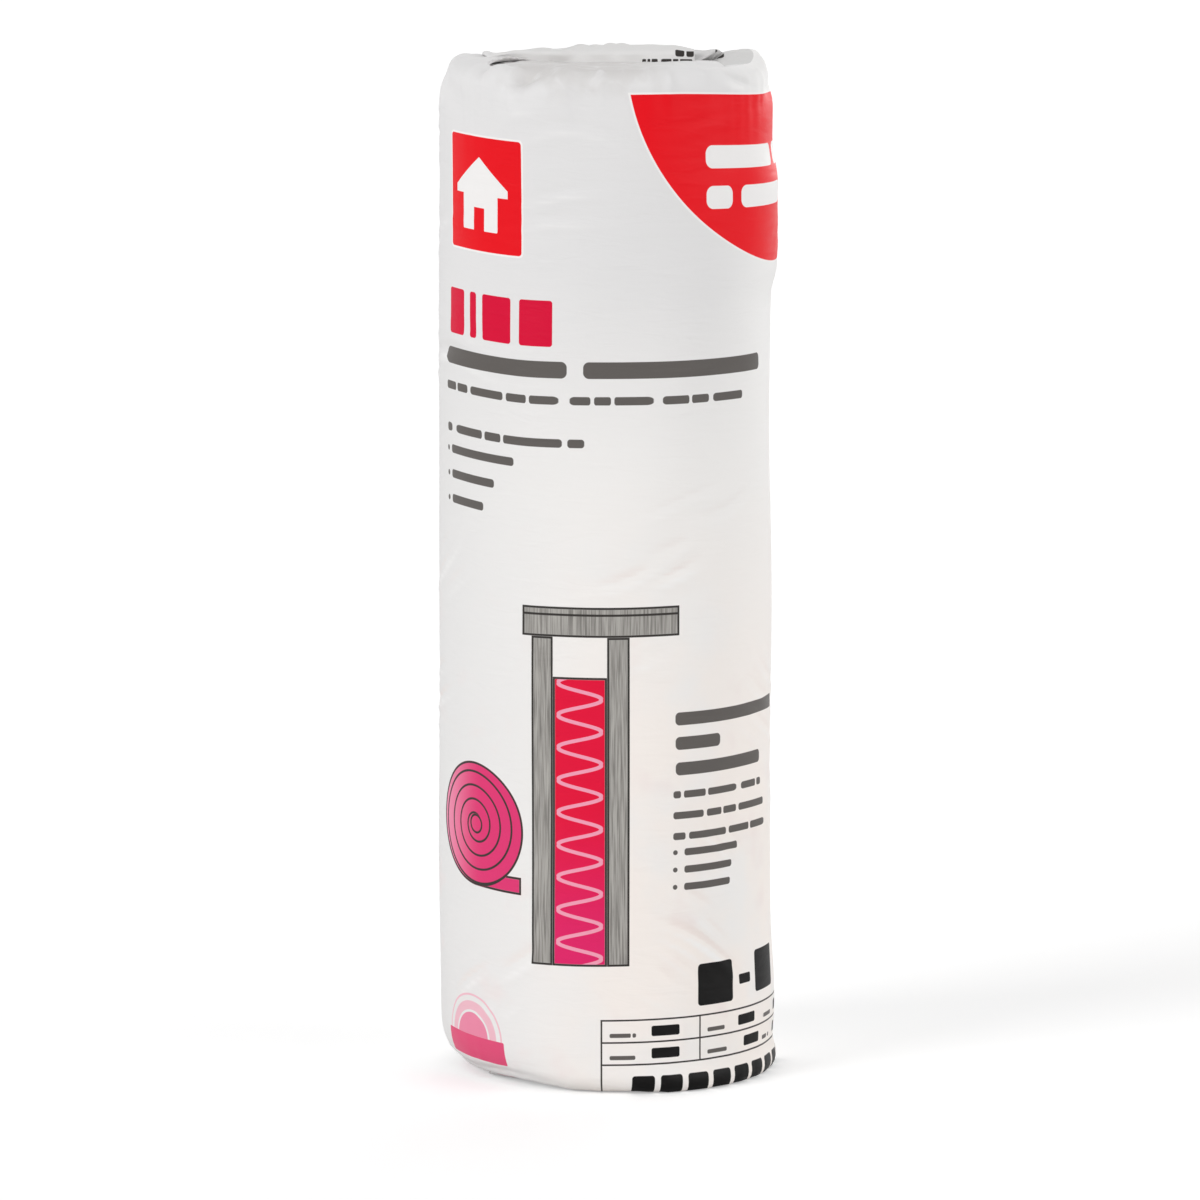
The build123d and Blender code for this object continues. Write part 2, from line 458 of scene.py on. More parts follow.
def fold_plan(share):
    """The plan of every thread at a share of its way from the rim (0) to the seal (1), one row each."""
    edge_stops = [0, panel_columns, panel_columns + 1, panel_columns + 2, panel_columns + 3]
    panel_over = [0, seal_half, seal_half + turn_out, seal_half + turn_back, seal_half - tuck_depth]
    flap_end = seal_half - flap_depth
    flap_over = [0, seal_half, seal_half + 0.3 * MM, flap_end + 0.5 * MM, flap_end, flap_end + past_flap]
    middle_end = np.where(to_side < 0, flap_end + past_flap, seal_half - tuck_depth)
    end_x = np.interp(from_middle, edge_stops, panel_over)
    inner_share = np.clip((from_middle - panel_columns - 3) / (side_columns - panel_columns - 3), 0, 1)
    end_x = end_x + (middle_end - end_x) * inner_share
    end_x = np.where(flap_side, np.interp(from_middle, [*edge_stops, panel_columns + 4], flap_over), end_x)
    end_x = seal_middle + to_side * end_x
    end_y = seal_line + to_back * lip_half * (1 - from_middle / side_columns)
    rim_x, rim_y = end_radius * np.cos(azimuths), end_radius * np.sin(azimuths)
    t = np.asarray(share)[:, None]
    edge = np.clip(from_middle / panel_columns, 0, 1) ** 3 * (from_middle < panel_columns + 3)
    bow = edge_bow * np.sin(math.pi * t) * edge * to_side * np.where(flap_side, 0.3, 1.0)
    return rim_x + (end_x - rim_x) * t + bow, rim_y + (end_y - rim_y) * t


# %% [markdown]
# The wool stands up in a soft ring just inside the rim and lies lower in the middle, round the eye of
# the winding, and the panels lie on it. The ring is low at the front and fuller at the back, and the
# film is drawn down beside the seal. At the front left the panel dips under the flap, whose edge gapes
# in a dark crescent. Creases fan out on both panels from the seal's ends, and the gussets are crumpled
# along their own threads.

# %% Heights on the head
front_ring = 0.2 * MM
back_ring = 2.0 * MM
ring_slope = 13.0 * MM
middle_slope = 30.0 * MM
middle_share = 0.45
front_gape = 1.2 * MM
back_gape_left = 0.2 * MM
back_gape_right = 0.6 * MM
gusset_drop = 2.3 * MM
flap_lift = 0.9 * MM
flap_gape = 0.6 * MM
panel_dip = 2.2 * MM
panel_turned_under = [0.35 * MM, 0.95 * MM]
flap_turned_under = [0.75 * MM, 0.35 * MM]
fan_phase = rng.uniform(0, 2 * math.pi, around_count)


def wool_ring(x, y):
    """How far the wool lifts the film over the skin's head."""
    inward = end_radius - np.hypot(x, y)
    shape = ease(inward / ring_slope) * (1 - (1 - middle_share) * ease((inward - ring_slope) / middle_slope))
    to_rear = ease((y + 0.5 * end_radius) / end_radius) * (1 - 0.6 * ease((-x - 15 * MM) / (30 * MM)))
    return shape * (front_ring + (back_ring - front_ring) * to_rear)


def seal_dip(x):
    """How far the film is drawn down beside the seal, less towards the seal's left end."""
    return MM * ease((x + 45 * MM) / (30 * MM))


def head_heights(share, x, y):
    """The height of every thread on the head."""
    t = np.asarray(share)[:, None]
    distance = np.hypot(x, y)
    near_edge = bell(np.maximum(panel_columns - from_middle, 0), 8)
    gape = np.where(to_back < 0, front_gape, np.where(to_side < 0, back_gape_left, back_gape_right))
    arch = np.sin(math.pi * np.clip(t * 1.06, 0, 1)) ** 1.4
    gape = np.where(flap_side, -panel_dip * near_edge * ease(t / 0.1), gape * near_edge * arch)
    thread = np.arange(around_count)[None]
    fan = 0.30 * np.sin(thread * 0.61 + 2.2 * t) + 0.24 * np.sin(thread * 1.07 + 1.3 - 3 * t)
    fan = fan + 0.16 * np.sin(fan_phase[None] * 0.3 + thread * 0.29 + 5 * t)
    fan = fan * MM * ease((t - 0.12) / 0.5) * (1 - 0.5 * ease((t - 0.85) / 0.15))
    panel = wool_ring(x, y) + gape + fan * np.where(to_back < 0, 0.5, 0.8)
    turns = [from_middle == panel_columns + 1, from_middle == panel_columns + 2]
    panel = panel - np.select(turns, panel_turned_under, 0) * ease(t / 0.15)
    crumple = 0.5 * np.sin(thread * 0.9 + 4 * t) + 0.35 * np.sin(thread * 0.47 - 6 * t + 1)
    gusset = -gusset_drop * ease(t / 0.45) + crumple * MM * ease(t / 0.2) * 0.7
    tucked = np.minimum(gusset, 0) - 0.4 * MM * ease(t / 0.3)
    gusset = np.where(from_middle == panel_columns + 3, tucked, gusset)
    past_edge = from_middle - panel_columns - 3
    pleats = 0.2 * MM * np.sin(44 * t) * bell(past_edge, 4)
    flap = wool_ring(x, y) + (flap_lift + flap_gape * arch * bell(past_edge, 9) + pleats) * ease(t / 0.15)
    flap = flap + (gusset - flap) * ease((past_edge - 8) / 20)
    flap = flap - np.select([past_edge == -1, past_edge == 0], flap_turned_under, 0) * ease(t / 0.15)
    panel = panel + np.where(flap_side & (from_middle == panel_columns + 1), 0.7 * MM, 0) * ease(t / 0.15)
    in_flap = flap_side & (past_edge >= -1)
    layer = np.where(in_flap, flap, np.where(from_middle <= panel_columns + 2, panel, gusset))
    layer = layer - seal_dip(x) * ease((t - 0.5) / 0.5)
    return skin_head + layer + relief(np.arctan2(y, x), distance)


# %% The head and the foot as nets
head_share = np.linspace(1, 0, 36)
head_x, head_y = fold_plan(head_share)
head_net = np.stack([head_x, head_y, head_heights(head_share, head_x, head_y)], axis=-1)

foot_panel_rise = 0.7 * MM
foot_gusset_rise = 0.5 * MM
foot_share = np.linspace(0, 1, 20)[1:]
foot_x, foot_y = fold_plan(foot_share)
foot_t = foot_share[:, None]
foot_plies = foot_panel_rise + foot_gusset_rise * (from_middle > panel_columns + 2)
foot_rise = foot_plies * ease(foot_t / 0.2)
pressed_fans = 0.12 * MM * np.sin(np.arange(around_count) * 0.8 + 3 * foot_t) * ease(foot_t / 0.3)
foot_edge = relief(azimuths, np.full(around_count, foot_start))
foot_fade = (1 - ease(foot_t / 0.25)) * foot_edge
foot_net = np.stack([foot_x, foot_y, foot_rise + np.abs(pressed_fans) - foot_fade], axis=-1)
print("rows on the head and foot:", len(head_share), "and", len(foot_share))

# %% [markdown]
# Between the two ends the net follows the profile: closest rows on the rims, even ones down the side.

# %% The whole skin as one net
rim_steps = np.linspace(0, 1, 12)[1:]
side_rows = side_start + np.linspace(0, 1, 171)[1:] * (side_end - side_start)
rows = np.concatenate([end_radius + rim_steps * rim_arc, side_rows, side_end + rim_steps * rim_arc])
side_net = place(azimuths[None], rows[:, None])
side_net[..., 2] = np.maximum(side_net[..., 2], 0)
skin_net = np.concatenate([head_net, side_net, foot_net])

head_zone, foot_zone = 1.0, 2.0
edge_columns = np.arange(around_count + 1) - half_turn_columns
across_film = film_radius * 2 * math.pi * edge_columns / around_count
side_uv = np.stack(np.broadcast_arrays(across_film, level(rows)[:, None]), axis=-1)
wrapped = np.arange(around_count + 1) % around_count
head_uv = np.stack([head_x, head_zone + head_y], axis=-1)[:, wrapped]
foot_uv = np.stack([foot_x, foot_zone + foot_y], axis=-1)[:, wrapped]
skin_uv = np.concatenate([head_uv, side_uv, foot_uv])

# A row on either rim belongs to two zones of the map. The faces below it start in the lower zone.
below_uv = skin_uv.copy()
rim_level = np.full(around_count + 1, level(end_radius))
below_uv[len(head_net) - 1] = np.stack([side_uv[0, :, 0], rim_level], axis=-1)
foot_rim = np.stack([end_radius * np.cos(azimuths), foot_zone + end_radius * np.sin(azimuths)], axis=-1)
below_uv[len(head_net) + len(rows) - 1] = foot_rim[wrapped]
print("skin net:", skin_net.shape[0], "rows of", skin_net.shape[1])


def net_faces(points, uv, uv_below):
    """Faces round a net whose last column meets its first, with the corners' UV places."""
    row, column = np.meshgrid(np.arange(points.shape[0] - 1), np.arange(around_count), indexing="ij")
    after = (column + 1) % around_count
    quads = np.stack([row * around_count + column, (row + 1) * around_count + column,
                      (row + 1) * around_count + after, row * around_count + after], axis=-1)
    corner_uv = np.stack([uv_below[row, column], uv[row + 1, column],
                          uv[row + 1, column + 1], uv_below[row, column + 1]], axis=-2)
    return quads.reshape(-1, 4).tolist(), corner_uv.reshape(-1, 2).tolist()


def slit_faces(row, upwards):
    """Closes an end along its slit, where each thread of the front meets one of the back."""
    faces = []
    for side in (1, -1):
        for step in range(side_columns):
            near = [side * step, side * (step + 1)]
            far = [side * half_turn_columns - column for column in reversed(near)]
            ring = [column + half_turn_columns for column in (near + far)]
            ids = []
            for column in ring:
                point = row * around_count + column % around_count
                if point not in ids:
                    ids.append(point)
            counterclockwise = side > 0
            faces.append(ids if counterclockwise == upwards else ids[::-1])
    return faces


skin_faces, skin_corner_uv = net_faces(skin_net, skin_uv, below_uv)
for end_row, upwards in ((0, True), (skin_net.shape[0] - 1, False)):
    closing = slit_faces(end_row, upwards)
    flat_uv = skin_uv[:, :around_count].reshape(-1, 2)
    skin_faces += closing
    skin_corner_uv += [flat_uv[point].tolist() for face in closing for point in face]
skin_points = skin_net.reshape(-1, 3).tolist()
print("skin:", len(skin_points), "points,", len(skin_faces), "faces")

# %% [markdown]
# The inner side of the bag
#
# A bag is thin, so the skin gets an inner wall as well. It is a coarser copy that follows the same
# lumps, a little further in, and it faces the wool.

# %% The inner wall
wall_gap = 0.7 * MM
inner_columns, inner_rows = 75, 60
inner_azimuth = front + np.arange(inner_columns) * 2 * math.pi / inner_columns
inner_rim = np.linspace(0, 1, 5)
inner_distance = np.concatenate([
    [end_radius * 0.35, end_radius * 0.7],
    end_radius + inner_rim * rim_arc,
    side_start + np.linspace(0, 1, inner_rows)[1:-1] * (side_end - side_start),
    side_end + inner_rim * rim_arc,
    [profile_length - end_radius * 0.7, profile_length - end_radius * 0.35],
])
inner_net = place(inner_azimuth[None], inner_distance[:, None], -wall_gap)
below_gussets = gusset_drop + 2.2 * MM
on_head = ease((end_radius + rim_arc * 0.6 - inner_distance) / (rim_arc * 0.6))
inner_net[..., 2] -= (below_gussets * on_head)[:, None]
above_foot = 1.0 * MM
on_foot = ease((inner_distance - foot_start + rim_arc * 0.6) / (rim_arc * 0.6))
inner_net[..., 2] += (above_foot * on_foot)[:, None]


def inner_wall():
    """The inner wall as a closed shell that faces inwards."""
    points = inner_net.reshape(-1, 3).tolist()
    faces = []
    for row in range(len(inner_distance) - 1):
        for column in range(inner_columns):
            after = (column + 1) % inner_columns
            here, below = row * inner_columns, (row + 1) * inner_columns
            faces.append([here + column, here + after, below + after, below + column])
    last = (len(inner_distance) - 1) * inner_columns
    top, bottom = len(points), len(points) + 1
    points += [[0, 0, float(inner_net[0, :, 2].mean())], [0, 0, float(inner_net[-1, :, 2].mean())]]
    for column in range(inner_columns):
        after = (column + 1) % inner_columns
        faces.append([column, top, after])
        faces.append([last + column, last + after, bottom])
    return points, faces, [[0.0, foot_zone] for face in faces for _ in face]


inner_shell = inner_wall()
print("inner wall:", len(inner_shell[1]), "faces")

# %% [markdown]
# The seal
#
# Both lips of the bag's mouth are welded together in a strip. It stands up out of the slit and leans
# back, half laid over, so its face shows as a band over the head, greyed with painted shade. The strip is
# a closed slab whose section rises, turns back and goes on rising to a wavy free edge with round corners.
# Its left end droops towards the flap. The weld is pressed with fine ridges. The foot's seal is the same
# strip pressed flat.

# %% Slabs and the two seals
seal_width = 15.0 * MM
seal_rise = 4.1 * MM
seal_lean = 2.1 * MM
left_bulge = 1.5 * MM
left_droop, far_left_droop, left_end_droop = 1.9 * MM, 3.0 * MM, 2.6 * MM
right_end_droop = 2.0 * MM
free_corner = 6.0 * MM
strip_bow, small_folds = 0.8 * MM, 0.6 * MM
weld_ridge, weld_pitch = 0.1 * MM, 1.6 * MM
seal_thickness = 0.5 * MM
pressed_lift, pressed_thickness = 0.02 * MM, 0.45 * MM
strip_zone = head_zone + 0.2


def slab(top, bottom, uv):
    """A closed slab between two nets of the same shape, with a UV place for each of their points."""
    row_count, column_count = top.shape[:2]
    half = row_count * column_count
    points = top.reshape(-1, 3).tolist() + bottom.reshape(-1, 3).tolist()
    flat_uv = uv.reshape(-1, 2).tolist()
    faces = []
    for row in range(row_count - 1):
        for column in range(column_count - 1):
            a = row * column_count + column
            quad = [a, a + 1, a + column_count + 1, a + column_count]
            faces += [quad, [half + point for point in reversed(quad)]]
    border = [(0, c) for c in range(column_count)] + [(r, column_count - 1) for r in range(1, row_count)]
    border += [(row_count - 1, c) for c in range(column_count - 2, -1, -1)]
    border += [(r, 0) for r in range(row_count - 2, 0, -1)]
    ids = [row * column_count + column for row, column in border]
    for a, b in zip(ids, ids[1:] + ids[:1]):
        faces.append([b, a, half + a, half + b])
    return points, faces, [flat_uv[point % half] for face in faces for point in face]


def seal_strip(columns, rows, pressed):
    """The welded strip, from its root in the slit to its free edge. pressed makes it the foot's flat one."""
    run = np.linspace(0, seal_rise + seal_width, rows)[:, None]
    t = run / (seal_rise + seal_width)
    corner_round = free_corner * (1 - np.sqrt(1 - np.clip((t - 0.55) / 0.45, 0, 1) ** 2))
    x = seal_middle + np.linspace(-1, 1, columns)[None] * (seal_half + 1.5 * MM - corner_round)
    back_run = np.maximum(run - seal_rise * 0.85, 0)
    y = seal_line + back_run * ease((run - seal_rise * 0.35) / (1.8 * MM)) + 0 * x
    end = (x - seal_middle) / seal_half
    y = y + strip_bow * np.sin(end * 2.3 + 0.4) * ease((t - 0.2) / 0.8)
    if pressed:
        flat = np.stack([x + 0 * y, y, np.full(y.shape, pressed_lift)], axis=-1)
        upper = flat + np.array([0, 0, pressed_thickness])
        return slab(upper, flat, flat[..., :2] + np.array([0, foot_zone]))
    to_left = ease((-x - 12 * MM) / (8 * MM))
    far_left = ease((-x - 22 * MM) / (30 * MM))
    y = y - left_bulge * to_left * np.sin(math.pi * np.clip(t / 0.55, 0, 1))
    wave = 0.3 * MM * np.sin(x / (5.2 * MM) + 0.8) + 0.2 * MM * np.sin(x / (2.3 * MM))
    patchy = ease(0.5 + 0.5 * np.sin(x / (8 * MM) + 2))
    fine_turn = x / (1.1 * MM) + 2 * np.sin(x / (9 * MM)) + back_run / (2.2 * MM)
    wave = wave + 0.28 * MM * patchy * np.sin(fine_turn)
    wave = wave * ease((t - 0.3) / 0.7)
    y = y + small_folds * np.sin(x / (2.9 * MM) + 1.6 * np.sin(x / (11 * MM))) * ease(t / 0.25)
    left_end = ease((-x - 36 * MM) / (12 * MM))
    droop = (left_droop * to_left + far_left_droop * far_left) * ease((t - 0.1) / 0.5)
    droop = droop + left_end_droop * left_end * ease(t / 0.3)
    droop = droop + right_end_droop * ease((end - 0.8) / 0.2) * ease(t / 0.6)
    ridges = weld_ridge * np.cos(2 * math.pi * back_run / weld_pitch) * ease((back_run - 3 * MM) / MM)
    up = np.minimum(run, seal_rise) + seal_lean * (1 - np.exp(-back_run / (4 * MM)))
    up = up - 2.0 * MM * (1 - ease(run / (0.8 * MM)))
    root = skin_head + wool_ring(x, np.full(x.shape, seal_line)) - seal_dip(x) - 0.4 * MM
    z = root + up + wave - droop + ridges
    middle = np.stack(np.broadcast_arrays(x, y, z), axis=-1)
    normal = np.cross(np.gradient(middle, axis=1), np.gradient(middle, axis=0))
    normal /= np.linalg.norm(normal, axis=-1, keepdims=True)
    uv = np.stack(np.broadcast_arrays(x, strip_zone + run), axis=-1)
    return slab(middle + normal * seal_thickness / 2, middle - normal * seal_thickness / 2, uv)


head_seal = seal_strip(100, 36, pressed=False)
foot_seal = seal_strip(30, 10, pressed=True)
print("seals:", len(head_seal[1]), "and", len(foot_seal[1]), "faces")

# %% [markdown]
# One film
#
# The skin, its inner wall and the seals are one bag, so they become one mesh. Its UV map holds real
# metres of film, which lets the print be set out in the same units as on the press. An attribute keeps
# how far each crease lifts the film off the wool. The material uses it to paint a highlight on the crests
# and shade in the troughs, and low down the pressed film in the troughs also shows the pink of the wool.

# %% Joining the film
def join_nets(name, nets):
    """One smooth mesh object from several lists of points, faces and UV places."""
    points, faces, uvs, lifts = [], [], [], []
    for net_points, faces_of_net, net_uvs, *net_lifts in nets:
        start = len(points)
        points += net_points
        lifts += net_lifts[0] if net_lifts else [0.0] * len(net_points)
        faces += [[point + start for point in face] for face in faces_of_net]
        uvs += net_uvs
    mesh = bpy.data.meshes.new(name)
    mesh.from_pydata(points, [], faces)
    flat_map = mesh.uv_layers.new(name="film_metres")
    flat_map.data.foreach_set("uv", np.array(uvs, np.float32).ravel())
    lift = mesh.attributes.new("lift_mm", "FLOAT", "POINT")
    lift.data.foreach_set("value", np.array(lifts, np.float32))
    mesh.shade_smooth()
    piece = bpy.data.objects.new(name, mesh)
    bpy.context.collection.objects.link(piece)
    return piece


off_wool = crease_relief(azimuths[None], rows[:, None]) / MM
skin_lift = np.concatenate([np.zeros(head_net.shape[:2]), off_wool, np.zeros(foot_net.shape[:2])])
skin = (skin_points, skin_faces, skin_corner_uv, skin_lift.ravel().tolist())
film = join_nets("film_bag", [skin, inner_shell, head_seal, foot_seal])
triangles = sum(len(face.vertices) - 2 for face in film.data.polygons)
print("film:", triangles, "triangles")

# %% [markdown]
# The print
#
# Everything printed is a mask: a number that is 1 on the ink and 0 beside it, worked out from the flat
# film's own millimetres. Three small node groups draw nearly all of it. One draws a box with round
# corners, one a disc or ring, and one a block of lines of plain bars, with lengths from a seeded texture.

# %% Steps of arithmetic
def maths(tree, operation, first, second=0.0, third=0.0):
    """One step of arithmetic."""
    return add(tree, "ShaderNodeMath", {"operation": operation}, _0=first, _1=second, _2=third).outputs[0]


def chain(tree, operation, values):
    """One operation carried over several values."""
    total = values[0]
    for value in values[1:]:
        total = maths(tree, operation, total, value)
    return total


ink_edge = 0.12


def soft_edge(tree, outside):
    """1 where outside, in millimetres, is below 0, fading over the ink's edge."""
    rim = add(tree, "ShaderNodeMapRange", {"interpolation_type": "SMOOTHSTEP"}, Value=outside)
    rim.inputs["From Min"].default_value = ink_edge
    rim.inputs["From Max"].default_value = -ink_edge
    return rim.outputs["Result"]


def round_box(tree, off_x, off_y, rounding):
    """How far outside a box with round corners a point is, from how far it is beyond its sides."""
    x, y = maths(tree, "ADD", off_x, rounding), maths(tree, "ADD", off_y, rounding)
    corner = add(tree, "ShaderNodeCombineXYZ",
                 X=maths(tree, "MAXIMUM", x, 0.0), Y=maths(tree, "MAXIMUM", y, 0.0))
    reach = add(tree, "ShaderNodeVectorMath", {"operation": "LENGTH"}, _0=corner.outputs[0]).outputs["Value"]
    inside = maths(tree, "MINIMUM", maths(tree, "MAXIMUM", x, y), 0.0)
    return maths(tree, "SUBTRACT", maths(tree, "ADD", reach, inside), rounding)


def new_group(name, inputs):
    """A node group that takes the film's place and some sizes, and gives a mask, with its two end nodes."""
    group = bpy.data.node_groups.new(name, "ShaderNodeTree")
    group.interface.new_socket("Film", in_out="INPUT", socket_type="NodeSocketVector")
    for socket_name, value in inputs.items():
        socket = group.interface.new_socket(socket_name, in_out="INPUT", socket_type="NodeSocketFloat")
        socket.default_value = value
    group.interface.new_socket("Mask", in_out="OUTPUT", socket_type="NodeSocketFloat")
    return group, group.nodes.new("NodeGroupInput"), group.nodes.new("NodeGroupOutput")


# %% Boxes and rings
box_group, start, end = new_group("printed_box", {"Left": 0, "Right": 10, "Low": 0, "High": 10, "Round": 0})
spot = add(box_group, "ShaderNodeSeparateXYZ", Vector=start.outputs["Film"]).outputs
beyond = [
    maths(box_group, "MAXIMUM",
          maths(box_group, "SUBTRACT", start.outputs[low], spot[axis]),
          maths(box_group, "SUBTRACT", spot[axis], start.outputs[high]))
    for axis, low, high in (("X", "Left", "Right"), ("Y", "Low", "High"))
]
outside = round_box(box_group, beyond[0], beyond[1], start.outputs["Round"])
box_group.links.new(soft_edge(box_group, outside), end.inputs["Mask"])

ring_group, start, end = new_group("printed_ring", {"Across": 0, "Up": 0, "Outer": 10, "Inner": -1})
centre = add(ring_group, "ShaderNodeCombineXYZ", X=start.outputs["Across"], Y=start.outputs["Up"])
flat_spot = add(ring_group, "ShaderNodeVectorMath", {"operation": "MULTIPLY"},
                _0=start.outputs["Film"], _1=(1, 1, 0))
spoke = add(ring_group, "ShaderNodeVectorMath", {"operation": "DISTANCE"},
            _0=flat_spot.outputs[0], _1=centre.outputs[0])
too_far = maths(ring_group, "SUBTRACT", spoke.outputs["Value"], start.outputs["Outer"])
too_near = maths(ring_group, "SUBTRACT", start.outputs["Inner"], spoke.outputs["Value"])
outside = maths(ring_group, "MAXIMUM", too_far, too_near)
ring_group.links.new(soft_edge(ring_group, outside), end.inputs["Mask"])

# %% Lines of bars
words_group, start, end = new_group("word_bars", {
    "Left": 0, "Right": 50, "Top": 0, "Lines": 1, "Pitch": 8, "Bar": 3, "Word": 9, "Ragged": 0.2, "Seed": 0})
tree, given = words_group, start.outputs
spot = add(tree, "ShaderNodeSeparateXYZ", Vector=given["Film"]).outputs
down = maths(tree, "DIVIDE", maths(tree, "SUBTRACT", given["Top"], spot["Y"]), given["Pitch"])
line = maths(tree, "FLOOR", down)
off_middle = maths(tree, "ABSOLUTE", maths(tree, "SUBTRACT", maths(tree, "SUBTRACT", down, line), 0.5))
half_bar = maths(tree, "MULTIPLY", given["Bar"], 0.5)
off_bar = maths(tree, "SUBTRACT", maths(tree, "MULTIPLY", off_middle, given["Pitch"]), half_bar)
line_seed = maths(tree, "MULTIPLY_ADD", line, 7.31, given["Seed"])
draw = add(tree, "ShaderNodeTexWhiteNoise", {"noise_dimensions": "1D"}, W=line_seed).outputs["Value"]
width = maths(tree, "SUBTRACT", given["Right"], given["Left"])
short = chain(tree, "MULTIPLY", [draw, given["Ragged"], width])
off_right = maths(tree, "SUBTRACT", spot["X"], maths(tree, "SUBTRACT", given["Right"], short))
off_left = maths(tree, "SUBTRACT", given["Left"], spot["X"])
even_place = maths(tree, "MULTIPLY_ADD", line_seed, 13.7, maths(tree, "DIVIDE", spot["X"], given["Word"]))
sway = maths(tree, "SINE", maths(tree, "MULTIPLY", even_place, 2.3))
word_place = maths(tree, "MULTIPLY_ADD", sway, 0.26, even_place)
gaps = add(tree, "ShaderNodeTexVoronoi", {"voronoi_dimensions": "1D", "feature": "DISTANCE_TO_EDGE"},
           W=word_place, Scale=1.0, Randomness=0.95)
gap_mm = maths(tree, "MULTIPLY", gaps.outputs["Distance"], given["Word"])
off_word = maths(tree, "SUBTRACT", maths(tree, "MULTIPLY", given["Bar"], 0.3), gap_mm)
off_across = chain(tree, "MAXIMUM", [off_right, off_left, off_word])
outside = round_box(tree, off_across, off_bar, maths(tree, "MULTIPLY", given["Bar"], 0.36))
last_line = maths(tree, "SUBTRACT", given["Lines"], 0.5)
above_first = maths(tree, "SUBTRACT", -0.5, line)
below_last = maths(tree, "SUBTRACT", line, last_line)
off_block = maths(tree, "MULTIPLY", maths(tree, "MAXIMUM", above_first, below_last), 100.0)
tree.links.new(soft_edge(tree, maths(tree, "MAXIMUM", outside, off_block)), end.inputs["Mask"])
print("mask groups:", [group.name for group in bpy.data.node_groups])

# %% [markdown]
# The film's material
#
# Blown polyethylene with white pigment: milky, with a satin surface and an index of refraction of about
# 1.5. It is duller where it is crumpled and over the ends. Light and shade are painted into its colour:
# its seen side is lighter towards the right, crease crests carry a painted highlight and troughs painted
# shade, and a painted grey shade lies on the middle of the head's front rim, its right gusset, the seal
# and the foot. Its surface has a grain of 2.5 mm and streaks of about 20 by 4.5 mm, as coarse as they
# need to be to show. Ink sits on it in thin flat layers. A mask picks where each ink goes over the
# colours below it.

# %% The film's tree
film_plastic, film_output = new_material("printed_polyethylene_film")
tree = film_plastic.node_tree
flat = add(tree, "ShaderNodeUVMap", {"uv_map": "film_metres"})
flat_mm = add(tree, "ShaderNodeVectorMath", {"operation": "SCALE"}, Vector=flat.outputs["UV"], Scale=1 / MM)
film_x, flat_y = add(tree, "ShaderNodeSeparateXYZ", Vector=flat_mm.outputs["Vector"]).outputs[:2]


def ramp(source, low, high):
    """A number carried from 0 to 1 between two limits."""
    node = add(tree, "ShaderNodeMapRange", {"interpolation_type": "SMOOTHSTEP"}, Value=source)
    node.inputs["From Min"].default_value = low
    node.inputs["From Max"].default_value = high
    return node.outputs["Result"]


left_rise, right_fall = 2.4, 2.8
drawn_up = maths(tree, "MULTIPLY", ramp(film_x, -28, -84), -left_rise)
drawn_down = chain(tree, "MULTIPLY", [ramp(film_x, 20, 92), ramp(flat_y, 320, 396), right_fall])
film_y = chain(tree, "ADD", [flat_y, drawn_up, drawn_down])
film_mm = add(tree, "ShaderNodeCombineXYZ", X=film_x, Y=film_y).outputs["Vector"]


def mask(group, *values):
    """A use of one of the mask groups, with its sizes in millimetres of film, in the group's own order."""
    node = tree.nodes.new("ShaderNodeGroup")
    node.node_tree = group
    tree.links.new(film_mm, node.inputs["Film"])
    for socket, value in zip(list(node.inputs)[1:], values):
        socket.default_value = value
    return node.outputs["Mask"]


def either(*masks):
    """The union of masks."""
    return chain(tree, "MAXIMUM", masks)


def both(first, second):
    """The part of the first mask that lies in the second."""
    return maths(tree, "MULTIPLY", first, second)


def minus(first, second):
    """The first mask with the second cut out of it."""
    return maths(tree, "MULTIPLY", first, maths(tree, "SUBTRACT", 1.0, second))


def lay(below, colour, where, strength=1.0):
    """A colour laid over another where a mask says."""
    amount = where if strength == 1.0 else maths(tree, "MULTIPLY", where, strength)
    node = add(tree, "ShaderNodeMix", {"data_type": "RGBA"}, Factor=amount)
    for socket, value in zip([s for s in node.inputs if s.type == "RGBA"], (below, colour)):
        if isinstance(value, bpy.types.NodeSocket):
            tree.links.new(value, socket)
        else:
            socket.default_value = value
    return [s for s in node.outputs if s.type == "RGBA"][0]


# %% [markdown]
# Layout on the front
#
# Sizes are millimetres of flat film: how far to the right of the middle of the front, and how high. The
# red panel is part of a large disc cut off by a straight top edge, and a tile with a plain house is on
# its left. Below come a heading as four plain blocks, rows of bars, a drawing of a stud wall beside a
# roll, a second block of bars, a table and a ring. The film was drawn on unevenly, so the print runs up
# a little towards its left edge and down at the top right.

# %% Red panel and tile
border = 0.8
disc_across, disc_up, disc_radius, disc_top = 93.5, 414.9, 86.0, 398.4
tile_left, tile_right, tile_low, tile_high = -76.5, -35.5, 334.0, 379.0


def cut_disc(wider):
    """The large disc below its straight top edge, wider by a border or by nothing."""
    disc = mask(ring_group, disc_across, disc_up, disc_radius + wider, -1.0)
    return both(disc, mask(box_group, -10, 200, 300, disc_top + wider, 0))


red_panel, disc_border = cut_disc(0), cut_disc(border)
panel_words = mask(words_group, 41.5, 128, 381.7, 2, 16.2, 9.2, 40, 0.25, 3)
tile = mask(box_group, tile_left, tile_right, tile_low, tile_high, 1.5)
tile_border = mask(box_group, tile_left - border, tile_right + border,
                   tile_low - border, tile_high + border, 2.0)

house_middle = -57.0
house_wall = mask(box_group, -67, -47, 342, 357, 0.5)
roof_run = maths(tree, "ABSOLUTE", maths(tree, "SUBTRACT", film_x, house_middle))
roof_rise = maths(tree, "ADD", film_y, maths(tree, "MULTIPLY", roof_run, 0.8))
below_roof = soft_edge(tree, maths(tree, "SUBTRACT", roof_rise, 371.0))
roof = both(below_roof, mask(box_group, -72, -42, 356, 372, 0))
house = minus(either(house_wall, roof), mask(box_group, -60, -54, 341, 351, 0))

